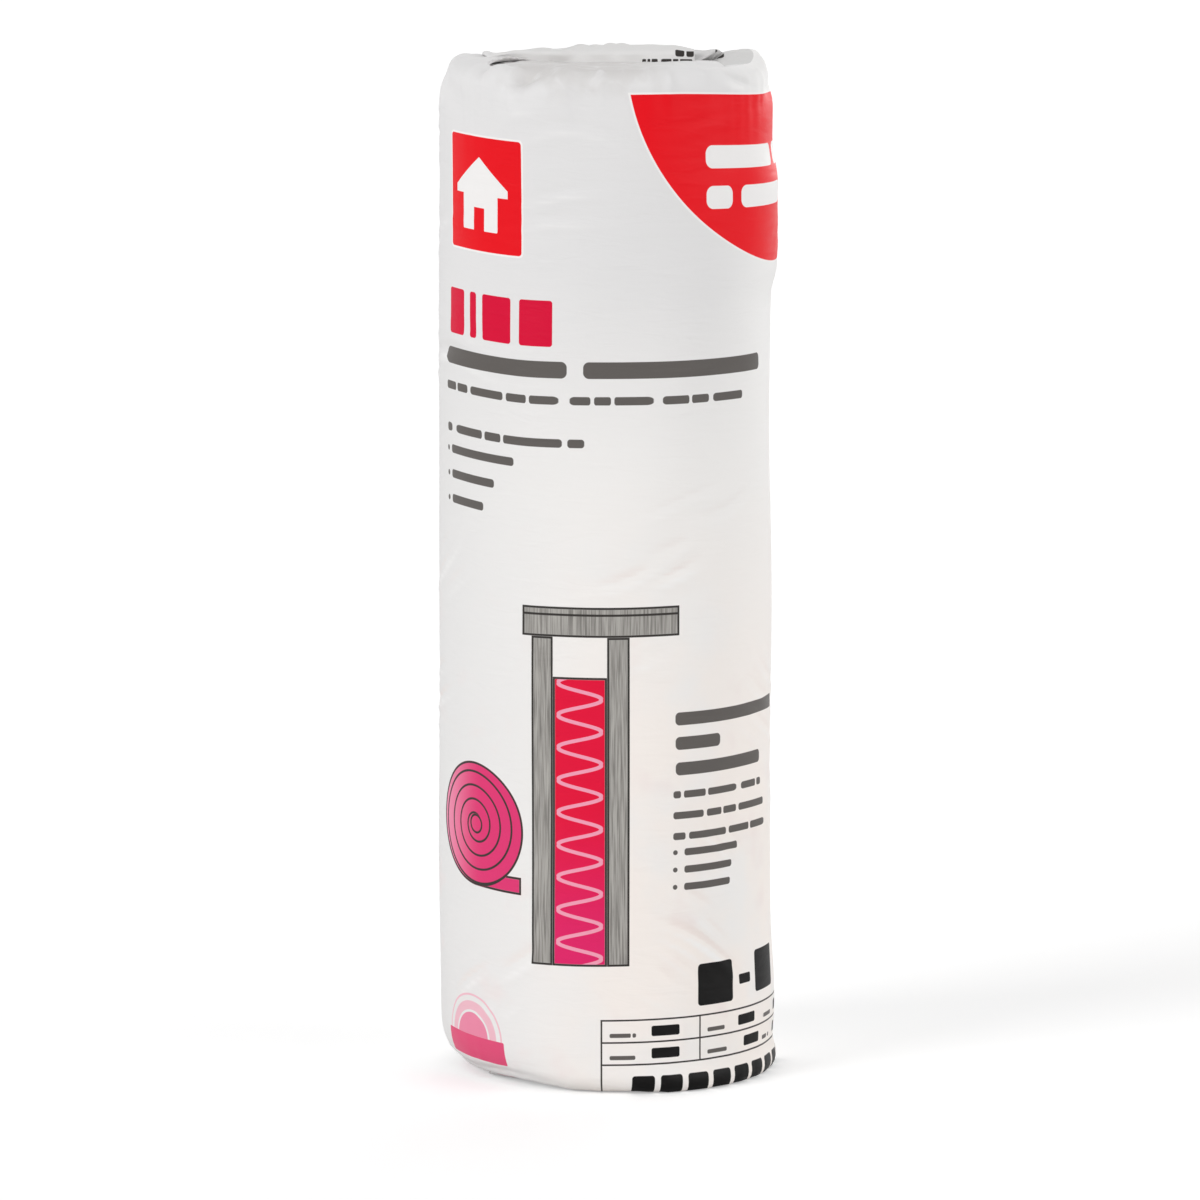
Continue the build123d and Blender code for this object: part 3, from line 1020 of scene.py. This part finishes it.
# %% Heading, bars and blocks
def bars(height, *spans):
    """Bars of one height, each given by its left and right ends and its middle's height."""
    half = height / 2
    return [mask(box_group, left, right, up - half, up + half, height * 0.36) for left, right, up in spans]


crimson_heading = either(*[mask(box_group, left, right, 299, 317.2, 1.2)
                           for left, right in ((-78, -66.5), (-62.5, -58.6), (-55, -40.5), (-36.5, -22))])
dark_bars = either(
    *bars(6.6, (-81, -16, 290), (-9.5, 77, 290)),
    mask(words_group, -82, 63, 282.4, 1, 9, 3.3, 13, 0.0, 2),
    mask(words_group, -82, -9, 265.5, 1, 9, 3.4, 16, 0.0, 8),
    *bars(3.4, (-78, -39, 252.4), (-78, -49, 242.4), (-78, -55, 232.4)),
    *bars(5.2, (28, 98, 150.6), (28, 50, 140.8), (28, 79, 130.6)),
    mask(words_group, 27, 88, 124.5, 3, 8.4, 2.9, 15, 0.15, 6),
    *bars(2.9, (32, 61, 97), (32, 57, 90), (32, 56, 83)),
    *[mask(ring_group, -81.5, up, 1.1, -1) for up in (252.4, 242.4, 232.4)],
    *[mask(ring_group, 28, up, 1.0, -1) for up in (97, 90, 83)],
)
black_bars = either(
    mask(box_group, 38.5, 57, 34, 51, 1.5),
    mask(box_group, 61, 69, 40, 44, 0.8),
    mask(box_group, 73, 92, 35, 52, 1.5),
    *[mask(box_group, left, left + 9.2, -1, 7.6, 1.2) for left in np.arange(10, 110, 11.6)],
)

# %% The table and the ring
rule = 0.7
table_left, table_split, table_right, table_foot = -2.6, 39.0, 112.0, -6.0
row_lines = (29.8, 20.8, 11.8)
uprights = ((table_left, table_foot), (table_split, row_lines[-1]), (table_right, table_foot))
table_rules = either(
    *[mask(box_group, x, x + rule, low, row_lines[0] + rule, 0) for x, low in uprights],
    *[mask(box_group, table_left, table_right + rule, y, y + rule, 0) for y in row_lines],
)
cell_words = either(*[mask(words_group, x, x + 11, 28.5, 2, 9.0, 1.7, 40, 0.2, x) for x in (1, 43, 80)])
cell_values = either(*[mask(box_group, x, x + 12, y, y + 4.2, 0.8)
                       for x, y in ((18, 23.4), (18, 14.4), (60, 23.4), (64, 14.4), (96, 23.4), (96, 14.4))])

ring_across, ring_up, band_low, band_high = -63.0, 17.0, 7.5, 17.5
thin_ring = mask(ring_group, ring_across, ring_up, 17.2, 16.4)
thick_ring = mask(ring_group, ring_across, ring_up, 14.2, 10.6)
ring_core = mask(ring_group, ring_across, ring_up, 9.6, -1)
ring_band = mask(box_group, ring_across - 19, ring_across + 18, band_low, band_high, 0.6)
above_band = mask(box_group, ring_across - 30, ring_across + 30, band_high, 60, 0)

# %% [markdown]
# The drawing
#
# A part of a stud wall seen from the front: a plate along the top, two studs and, between them, the pink
# mat with the draughtsman's curly line for insulation. Beside it lies a roll, drawn end on as a spiral.
# A spiral is easy as a mask: the distance from the centre less the share of a turn already made, and
# what is left over repeats once for each turn.

# %% The stud wall
outline = 0.9


def framed(left, right, low, high):
    """The inside of a box, and the line drawn round it."""
    whole = mask(box_group, left, right, low, high, 0.2)
    filling = mask(box_group, left + outline, right - outline, low + outline, high - outline, 0)
    return filling, minus(whole, filling)


stud_width, plate_low, plate_high, wall_low = 9.0, 184.0, 196.0, 52.0
wall_left, wall_right, plate_left, plate_right = -31.0, 9.0, -35.0, 30.0
plate_edge = 3.6
boards = [
    framed(wall_left, wall_left + stud_width, wall_low, plate_low),
    framed(wall_right - stud_width, wall_right, wall_low, plate_low),
    framed(plate_left, plate_right, plate_low, plate_high),
    framed(plate_left, plate_right, plate_high - plate_edge, plate_high),
]
timber = either(*[filling for filling, _ in boards])
timber_lines = either(*[line for _, line in boards])
mat_left, mat_right, mat_high = wall_left + stud_width, wall_right - stud_width, 168.0
mat_fill, mat_line = framed(mat_left, mat_right, wall_low, mat_high)

grain_place = add(tree, "ShaderNodeMapping", Vector=film_mm, Scale=(1.5, 0.05, 1.0))
grain = add(tree, "ShaderNodeTexNoise", Vector=grain_place.outputs["Vector"], Scale=1.0, Detail=4.0)
timber_tone = add(tree, "ShaderNodeValToRGB", Fac=grain.outputs["Fac"])
timber_tone.color_ramp.elements[0].position = 0.33
timber_tone.color_ramp.elements[0].color = ink("#7C7975")
timber_tone.color_ramp.elements[1].position = 0.62
timber_tone.color_ramp.elements[1].color = ink("#B0ADA8")

curl_pitch, curl_swing, curl_half = 13.0, 8.6, 0.75
curl_turn = maths(tree, "DIVIDE", film_y, curl_pitch / (2 * math.pi))
curl_x = maths(tree, "MULTIPLY_ADD", maths(tree, "SINE", curl_turn), curl_swing, (mat_left + mat_right) / 2)
curl_off = maths(tree, "ABSOLUTE", maths(tree, "SUBTRACT", film_x, curl_x))
curl_slope = maths(tree, "MULTIPLY", maths(tree, "COSINE", curl_turn), curl_swing * 2 * math.pi / curl_pitch)
curl_stretch = maths(tree, "SQRT", maths(tree, "MULTIPLY_ADD", curl_slope, curl_slope, 1.0))
off_curl = maths(tree, "SUBTRACT", maths(tree, "DIVIDE", curl_off, curl_stretch), curl_half)
curly_line = both(soft_edge(tree, off_curl), mat_fill)

# %% The roll beside it
roll_across, roll_up, roll_outer, roll_eye, roll_turn = -60.0, 104.0, 25.0, 4.0, 5.6
tail_high = 7.0
roll_disc = mask(ring_group, roll_across, roll_up, roll_outer, -1.0)
roll_edges = either(mask(ring_group, roll_across, roll_up, roll_outer, roll_outer - outline),
                    mask(ring_group, roll_across, roll_up, roll_eye, roll_eye - outline))
spoke_x = maths(tree, "SUBTRACT", film_x, roll_across)
spoke_y = maths(tree, "SUBTRACT", film_y, roll_up)
turn_share = maths(tree, "DIVIDE", maths(tree, "ARCTAN2", spoke_y, spoke_x), 2 * math.pi)
spoke_squared = maths(tree, "MULTIPLY_ADD", spoke_x, spoke_x, maths(tree, "MULTIPLY", spoke_y, spoke_y))
spoke_turns = maths(tree, "DIVIDE", maths(tree, "SQRT", spoke_squared), roll_turn)
wound = maths(tree, "SUBTRACT", spoke_turns, turn_share)
off_turn = maths(tree, "ABSOLUTE", maths(tree, "SUBTRACT", maths(tree, "FRACT", wound), 0.5))
off_line = maths(tree, "SUBTRACT", maths(tree, "MULTIPLY", off_turn, roll_turn), outline / 2)
turn_line = soft_edge(tree, off_line)
between_edges = mask(ring_group, roll_across, roll_up, roll_outer, roll_eye)
roll_foot = roll_up - roll_outer
tail_fill, tail_line = framed(roll_across, -36, roll_foot, roll_foot + tail_high)
roll_lines = either(roll_edges, both(turn_line, between_edges), minus(tail_line, roll_disc))
roll_fill = either(roll_disc, tail_fill, tail_line)

# %% [markdown]
# Inks in order
#
# The film itself comes first: a cool milky white, with a warm tint low at the front right where the pink
# wool presses on it, and with painted light and shade laid into it. Pale inks go down next and black
# last, as on a press. A fade in the pink roll and mat shades them.

# %% The colour of the film
warm_noise = add(tree, "ShaderNodeTexNoise", Vector=film_mm, Scale=0.02, Detail=3.0).outputs["Fac"]
warm_place = chain(tree, "MULTIPLY", [ramp(film_y, 270, 110), ramp(film_x, -40, 10),
                                      ramp(film_x, 150, 90), ramp(warm_noise, 0.3, 0.55)])
pink_noise = add(tree, "ShaderNodeTexNoise", Vector=film_mm, Scale=0.045, Detail=2.0).outputs["Fac"]
# Painted light: the film's white is lighter towards the right of the side the camera sees. Its upper part is
# a little darker.
seen_side = ramp(film_x, 190, 130)
upper_white_with_painted_light = lay(ink("#E4E3E3"), ink("#F0EFEE"), both(ramp(film_x, 35, 85), seen_side))
lower_white_with_painted_light = lay(ink("#E7E6E5"), ink("#F2F0EE"), both(ramp(film_x, -80, 0), seen_side))
colour = lay(upper_white_with_painted_light, lower_white_with_painted_light, ramp(film_y, 340, 230))
colour = lay(colour, ink("#F8F0EA"), warm_place, 0.9)
colour = lay(colour, ink("#EEDFDD"), both(ramp(pink_noise, 0.55, 0.75), ramp(film_y, 260, 60)), 0.4)
# Painted highlight: the crests of the creases, lifted off the wool, are laid lighter.
lift_mm = add(tree, "ShaderNodeAttribute", {"attribute_name": "lift_mm"}).outputs["Fac"]
colour = lay(colour, ink("#F7F6F5"), ramp(lift_mm, 0.05, 0.6), 0.8)
# Painted shade in the creases' troughs: grey up high, and warmer low down, where the pink wool shows through
# the pressed film.
trough_shade_and_wool_tint = lay(ink("#DCDBDA"), ink("#ECDFD9"), ramp(film_y, 300, 180))
colour = lay(colour, trough_shade_and_wool_tint, ramp(lift_mm, -0.03, -0.3), 0.6)
# Painted shade: a patchy grey over the middle of the head's front rim, which faces up into the light.
rim_patch_noise = add(tree, "ShaderNodeTexNoise",
                    Vector=film_mm, Scale=0.12, Detail=4.0, Distortion=0.6).outputs["Fac"]
over_rim = ramp(maths(tree, "MULTIPLY_ADD", rim_patch_noise, 16.0, film_y), 402, 420)
rim_painted_shade = chain(tree, "MULTIPLY", [over_rim, ramp(film_x, -50, -34), ramp(film_x, 34, 8),
                                      ramp(film_y, 1015, 985), ramp(rim_patch_noise, 0.2, 0.55)])
colour = lay(colour, ink("#C4C0BD"), rim_painted_shade, 0.5)
# Painted shade: grey over the seal strip, and with it over the foot and the inner wall, which lie beyond it
# on the map.
strip_and_foot_painted_shade = ramp(film_y, strip_zone / MM - 50, strip_zone / MM - 49)
colour = lay(colour, ink("#E0DFDE"), strip_and_foot_painted_shade, 0.9)
# Painted shade over the head's right gusset.
right_gusset_painted_shade = chain(tree, "MULTIPLY", [ramp(film_x, 24, 34), ramp(film_y, 975, 985), ramp(film_y, 1040, 1025)])
colour = lay(colour, ink("#D2D1D0"), right_gusset_painted_shade, 0.8)
colour = lay(colour, ink("#EFA3B8"), both(either(thin_ring, thick_ring), above_band), 0.7)
colour = lay(colour, ink("#E98AA6"), both(ring_core, above_band))
colour = lay(colour, ink("#E0527A"), ring_band)
roll_pink = lay(ink("#DF3A74"), ink("#F29BB9"), ramp(film_x, -56, -92))
colour = lay(colour, roll_pink, roll_fill)
mat_pink = lay(ink("#E4143C"), ink("#E0286A"), ramp(film_y, 120, 52))
colour = lay(colour, mat_pink, mat_fill)
colour = lay(colour, ink("#F2A0B8"), curly_line)
colour = lay(colour, timber_tone.outputs["Color"], timber)
colour = lay(colour, ink("#F4F1F0"), either(disc_border, tile_border))
colour = lay(colour, ink("#EA0E1C"), either(red_panel, tile))
colour = lay(colour, ink("#F1EFEE"), either(both(panel_words, red_panel), both(house, tile)))
colour = lay(colour, ink("#D80A38"), crimson_heading)
colour = lay(colour, ink("#625E5B"), either(dark_bars, cell_words))
colour = lay(colour, ink("#3A3735"), either(timber_lines, mat_line, roll_lines, table_rules))
colour = lay(colour, ink("#131212"), either(black_bars, cell_values))

# %% Specks of print on the folded head
head_bars = either(
    mask(words_group, 14, 34, 1202.4, 1, 3.0, 1.3, 3.6, 0.0, 17),
    mask(box_group, 27.2, 30.8, 1202.6, 1205.6, 0.9),
    mask(box_group, 31.6, 34.6, 1202.6, 1205.6, 0.9),
    mask(box_group, 43.5, 47, 1013, 1017.5, 1.0),
)
colour = lay(colour, ink("#3A3735"), head_bars)

# %% The film's surface
fine = add(tree, "ShaderNodeTexNoise", Vector=film_mm, Scale=0.4, Detail=5.0, Roughness=0.6).outputs["Fac"]
drawn_place = add(tree, "ShaderNodeMapping",
                  Vector=film_mm, Rotation=(0, 0, math.radians(24)), Scale=(0.05, 0.22, 1.0))
drawn = add(tree, "ShaderNodeTexNoise", Vector=drawn_place.outputs["Vector"],
            Scale=1.0, Detail=4.0, Distortion=0.8).outputs["Fac"]
height = maths(tree, "MULTIPLY_ADD", fine, 0.05 * MM, maths(tree, "MULTIPLY", drawn, 0.35 * MM))
bump = add(tree, "ShaderNodeBump", Height=height, Distance=1.0, Strength=0.7)
roughness = add(tree, "ShaderNodeMapRange", Value=drawn)
roughness.inputs["To Min"].default_value = 0.28
roughness.inputs["To Max"].default_value = 0.46
duller = maths(tree, "MULTIPLY_ADD", over_rim, 0.45, roughness.outputs["Result"])
shine = add(tree, "ShaderNodeBsdfPrincipled", Base_Color=colour, Roughness=duller,
            IOR=1.5, Normal=bump.outputs["Normal"])
shine.inputs["Specular IOR Level"].default_value = 0.12
tree.links.new(shine.outputs["BSDF"], film_output.inputs["Surface"])
film.data.materials.append(film_plastic)
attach(film, "root")
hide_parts("film_wrap")
print("film tree:", len(tree.nodes), "nodes")

# %% [markdown]
# The wound mat
#
# Inside the film is one mat of glass wool, wound up on itself. Its shape follows a rule, so Geometry
# Nodes make it: a spiral line with the mat's section carried along it. The section's corners are
# rounded, because a squeezed mat's edges bulge, and noise along the normals gives the fleece its
# unevenness. Every size is a named input of the tree. Glass wool is a fleece of spun glass with a
# coloured binder: it has no shine, and tufts of about 7 mm mottle it. Its strands are far too fine to
# show, so they are drawn about 1 mm wide.

# %% Glass wool
wool, wool_output = new_material("pink_glass_wool")
tree = wool.node_tree
spot = add(tree, "ShaderNodeTexCoord")
tufts = add(tree, "ShaderNodeTexNoise", Vector=spot.outputs["Object"], Scale=140.0, Detail=6.0, Roughness=0.7)
strands = add(tree, "ShaderNodeTexNoise", Vector=spot.outputs["Object"],
              Scale=900.0, Detail=3.0, Distortion=1.5)
tone = add(tree, "ShaderNodeValToRGB", Fac=tufts.outputs["Fac"])
tone.color_ramp.elements[0].position = 0.3
tone.color_ramp.elements[0].color = ink("#D87C93")
tone.color_ramp.elements[1].position = 0.7
tone.color_ramp.elements[1].color = ink("#F6BECB")
pile = add(tree, "ShaderNodeBump", Height=strands.outputs["Fac"], Distance=0.0012, Strength=0.8)
fibre = add(tree, "ShaderNodeBsdfPrincipled",
            Base_Color=tone.outputs["Color"], Roughness=0.95, Normal=pile.outputs["Normal"])
tree.links.new(fibre.outputs["BSDF"], wool_output.inputs["Surface"])

# %% The winding's tree
batt_low, batt_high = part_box("fiberglass_batt")
mat_width = 405.0 * MM
mat_thickness = 11.37 * MM
winding_turns = 5.58
thickness_share = 0.97
eye_wall, mat_outside = 3.0 * MM, 65.6 * MM
middle_height = (batt_low.z + batt_high.z) / 2
winding_sizes = {
    "Turns": winding_turns,
    "Start Radius": eye_wall + mat_thickness / 2,
    "End Radius": mat_outside - mat_thickness / 2,
    "Mat Width": mat_width,
    "Mat Thickness": mat_thickness * thickness_share,
    "Edge Round": 4.2 * MM,
    "Fleece": 0.9 * MM,
    "Start Azimuth": mat_end_azimuth - 2 * math.pi * winding_turns,
    "Middle Height": middle_height,
}
winding = bpy.data.node_groups.new("wound_mat", "GeometryNodeTree")
winding.interface.new_socket("Geometry", in_out="INPUT", socket_type="NodeSocketGeometry")
socket_ids = {}
for name in winding_sizes:
    socket = winding.interface.new_socket(name, in_out="INPUT", socket_type="NodeSocketFloat")
    socket_ids[name] = socket.identifier
winding.interface.new_socket("Geometry", in_out="OUTPUT", socket_type="NodeSocketGeometry")
given = winding.nodes.new("NodeGroupInput").outputs
result = winding.nodes.new("NodeGroupOutput")

spiral = add(winding, "GeometryNodeCurveSpiral", Resolution=44, Rotations=given["Turns"],
             Start_Radius=given["Start Radius"], End_Radius=given["End Radius"], Height=0.0)
section = add(winding, "GeometryNodeCurvePrimitiveQuadrilateral",
              Width=given["Mat Thickness"], Height=given["Mat Width"])
soft_section = add(winding, "GeometryNodeFilletCurve", {"mode": "POLY"},
                   Curve=section.outputs["Curve"], Radius=given["Edge Round"], Count=4)
spaced = add(winding, "GeometryNodeResampleCurve", {"mode": "LENGTH"},
             Curve=soft_section.outputs["Curve"], Length=5.5 * MM)
swept = add(winding, "GeometryNodeCurveToMesh", Curve=spiral.outputs["Curve"],
            Profile_Curve=spaced.outputs["Curve"], Fill_Caps=True)
patchy = add(winding, "ShaderNodeTexNoise", Scale=60.0, Detail=3.0)
uneven = add(winding, "ShaderNodeMath", {"operation": "SUBTRACT"}, _0=patchy.outputs["Fac"], _1=0.5)
push = add(winding, "ShaderNodeMath", {"operation": "MULTIPLY"}, _0=uneven.outputs[0], _1=given["Fleece"])
facing = winding.nodes.new("GeometryNodeInputNormal")
offset = add(winding, "ShaderNodeVectorMath", {"operation": "SCALE"},
             _0=facing.outputs["Normal"], Scale=push.outputs[0])
fleecy = add(winding, "GeometryNodeSetPosition",
             Geometry=swept.outputs["Mesh"], Offset=offset.outputs["Vector"])
lifted = add(winding, "ShaderNodeCombineXYZ", Z=given["Middle Height"])
turned = add(winding, "ShaderNodeCombineXYZ", Z=given["Start Azimuth"])
stood = add(winding, "GeometryNodeTransform", Geometry=fleecy.outputs["Geometry"],
            Translation=lifted.outputs[0], Rotation=turned.outputs[0])
whole = add(winding, "GeometryNodeRealizeInstances", Geometry=stood.outputs["Geometry"])
coated = add(winding, "GeometryNodeSetMaterial", Geometry=whole.outputs["Geometry"], Material=wool)
winding.links.new(coated.outputs["Geometry"], result.inputs["Geometry"])

# %% Winding it
carrier = bpy.data.objects.new("winding_carrier", bpy.data.meshes.new("winding_carrier"))
bpy.context.collection.objects.link(carrier)
modifier = carrier.modifiers.new("wound_mat", "NODES")
modifier.node_group = winding
for name, value in winding_sizes.items():
    modifier[socket_ids[name]] = float(value)
evaluated = carrier.evaluated_get(bpy.context.evaluated_depsgraph_get())
mat_mesh = bpy.data.meshes.new_from_object(evaluated)
bpy.data.objects.remove(carrier)
mat_mesh.name = "wound_wool_mat"
wool_mat = bpy.data.objects.new("wound_wool_mat", mat_mesh)
bpy.context.collection.objects.link(wool_mat)
triangles = sum(len(face.vertices) - 2 for face in mat_mesh.polygons)
print("mat:", len(mat_mesh.vertices), "points,", triangles, "triangles")

# %% [markdown]
# The film presses the wool in wherever it dents itself. So the mat's outer points are drawn in until
# they lie just under the film, whose radius is read off the net at each point's own height and azimuth,
# and its two edges are kept between the folded ends.

# %% Pressing it into the film
clearance, end_clearance = 1.3 * MM, 0.9 * MM
points = np.empty(len(mat_mesh.vertices) * 3)
mat_mesh.vertices.foreach_get("co", points)
points = points.reshape(-1, 3)
azimuth = np.arctan2(points[:, 1], points[:, 0])
radius = np.hypot(points[:, 0], points[:, 1])
low_limit = foot_panel_rise + foot_gusset_rise + end_clearance
high_limit = skin_head - below_gussets - end_clearance
share = (points[:, 2] - (middle_height - mat_width / 2)) / mat_width
height = low_limit + np.clip(share, 0, 1) * (high_limit - low_limit)
column = np.round((azimuth - front) / (2 * math.pi / around_count)).astype(int) % around_count
net_column = (column + half_turn_columns) % around_count
net_radius, net_height = np.hypot(side_net[..., 0], side_net[..., 1]), side_net[..., 2]
wall = np.empty(len(points))
for number in range(around_count):
    here = net_column == number
    upwards = np.argsort(net_height[:, number])
    wall[here] = np.interp(height[here], net_height[upwards, number], net_radius[upwards, number])
scale = np.minimum(1.0, (wall - clearance) / np.maximum(radius, 1e-6))
points[:, 0] *= scale
points[:, 1] *= scale
points[:, 2] = height
mat_mesh.vertices.foreach_set("co", points.ravel())
mat_mesh.shade_smooth()
mat_mesh.update()
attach(wool_mat, "root")
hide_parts("fiberglass_batt")
print("mat's heights, mm:", round(points[:, 2].min() / MM, 1), "to", round(points[:, 2].max() / MM, 1))
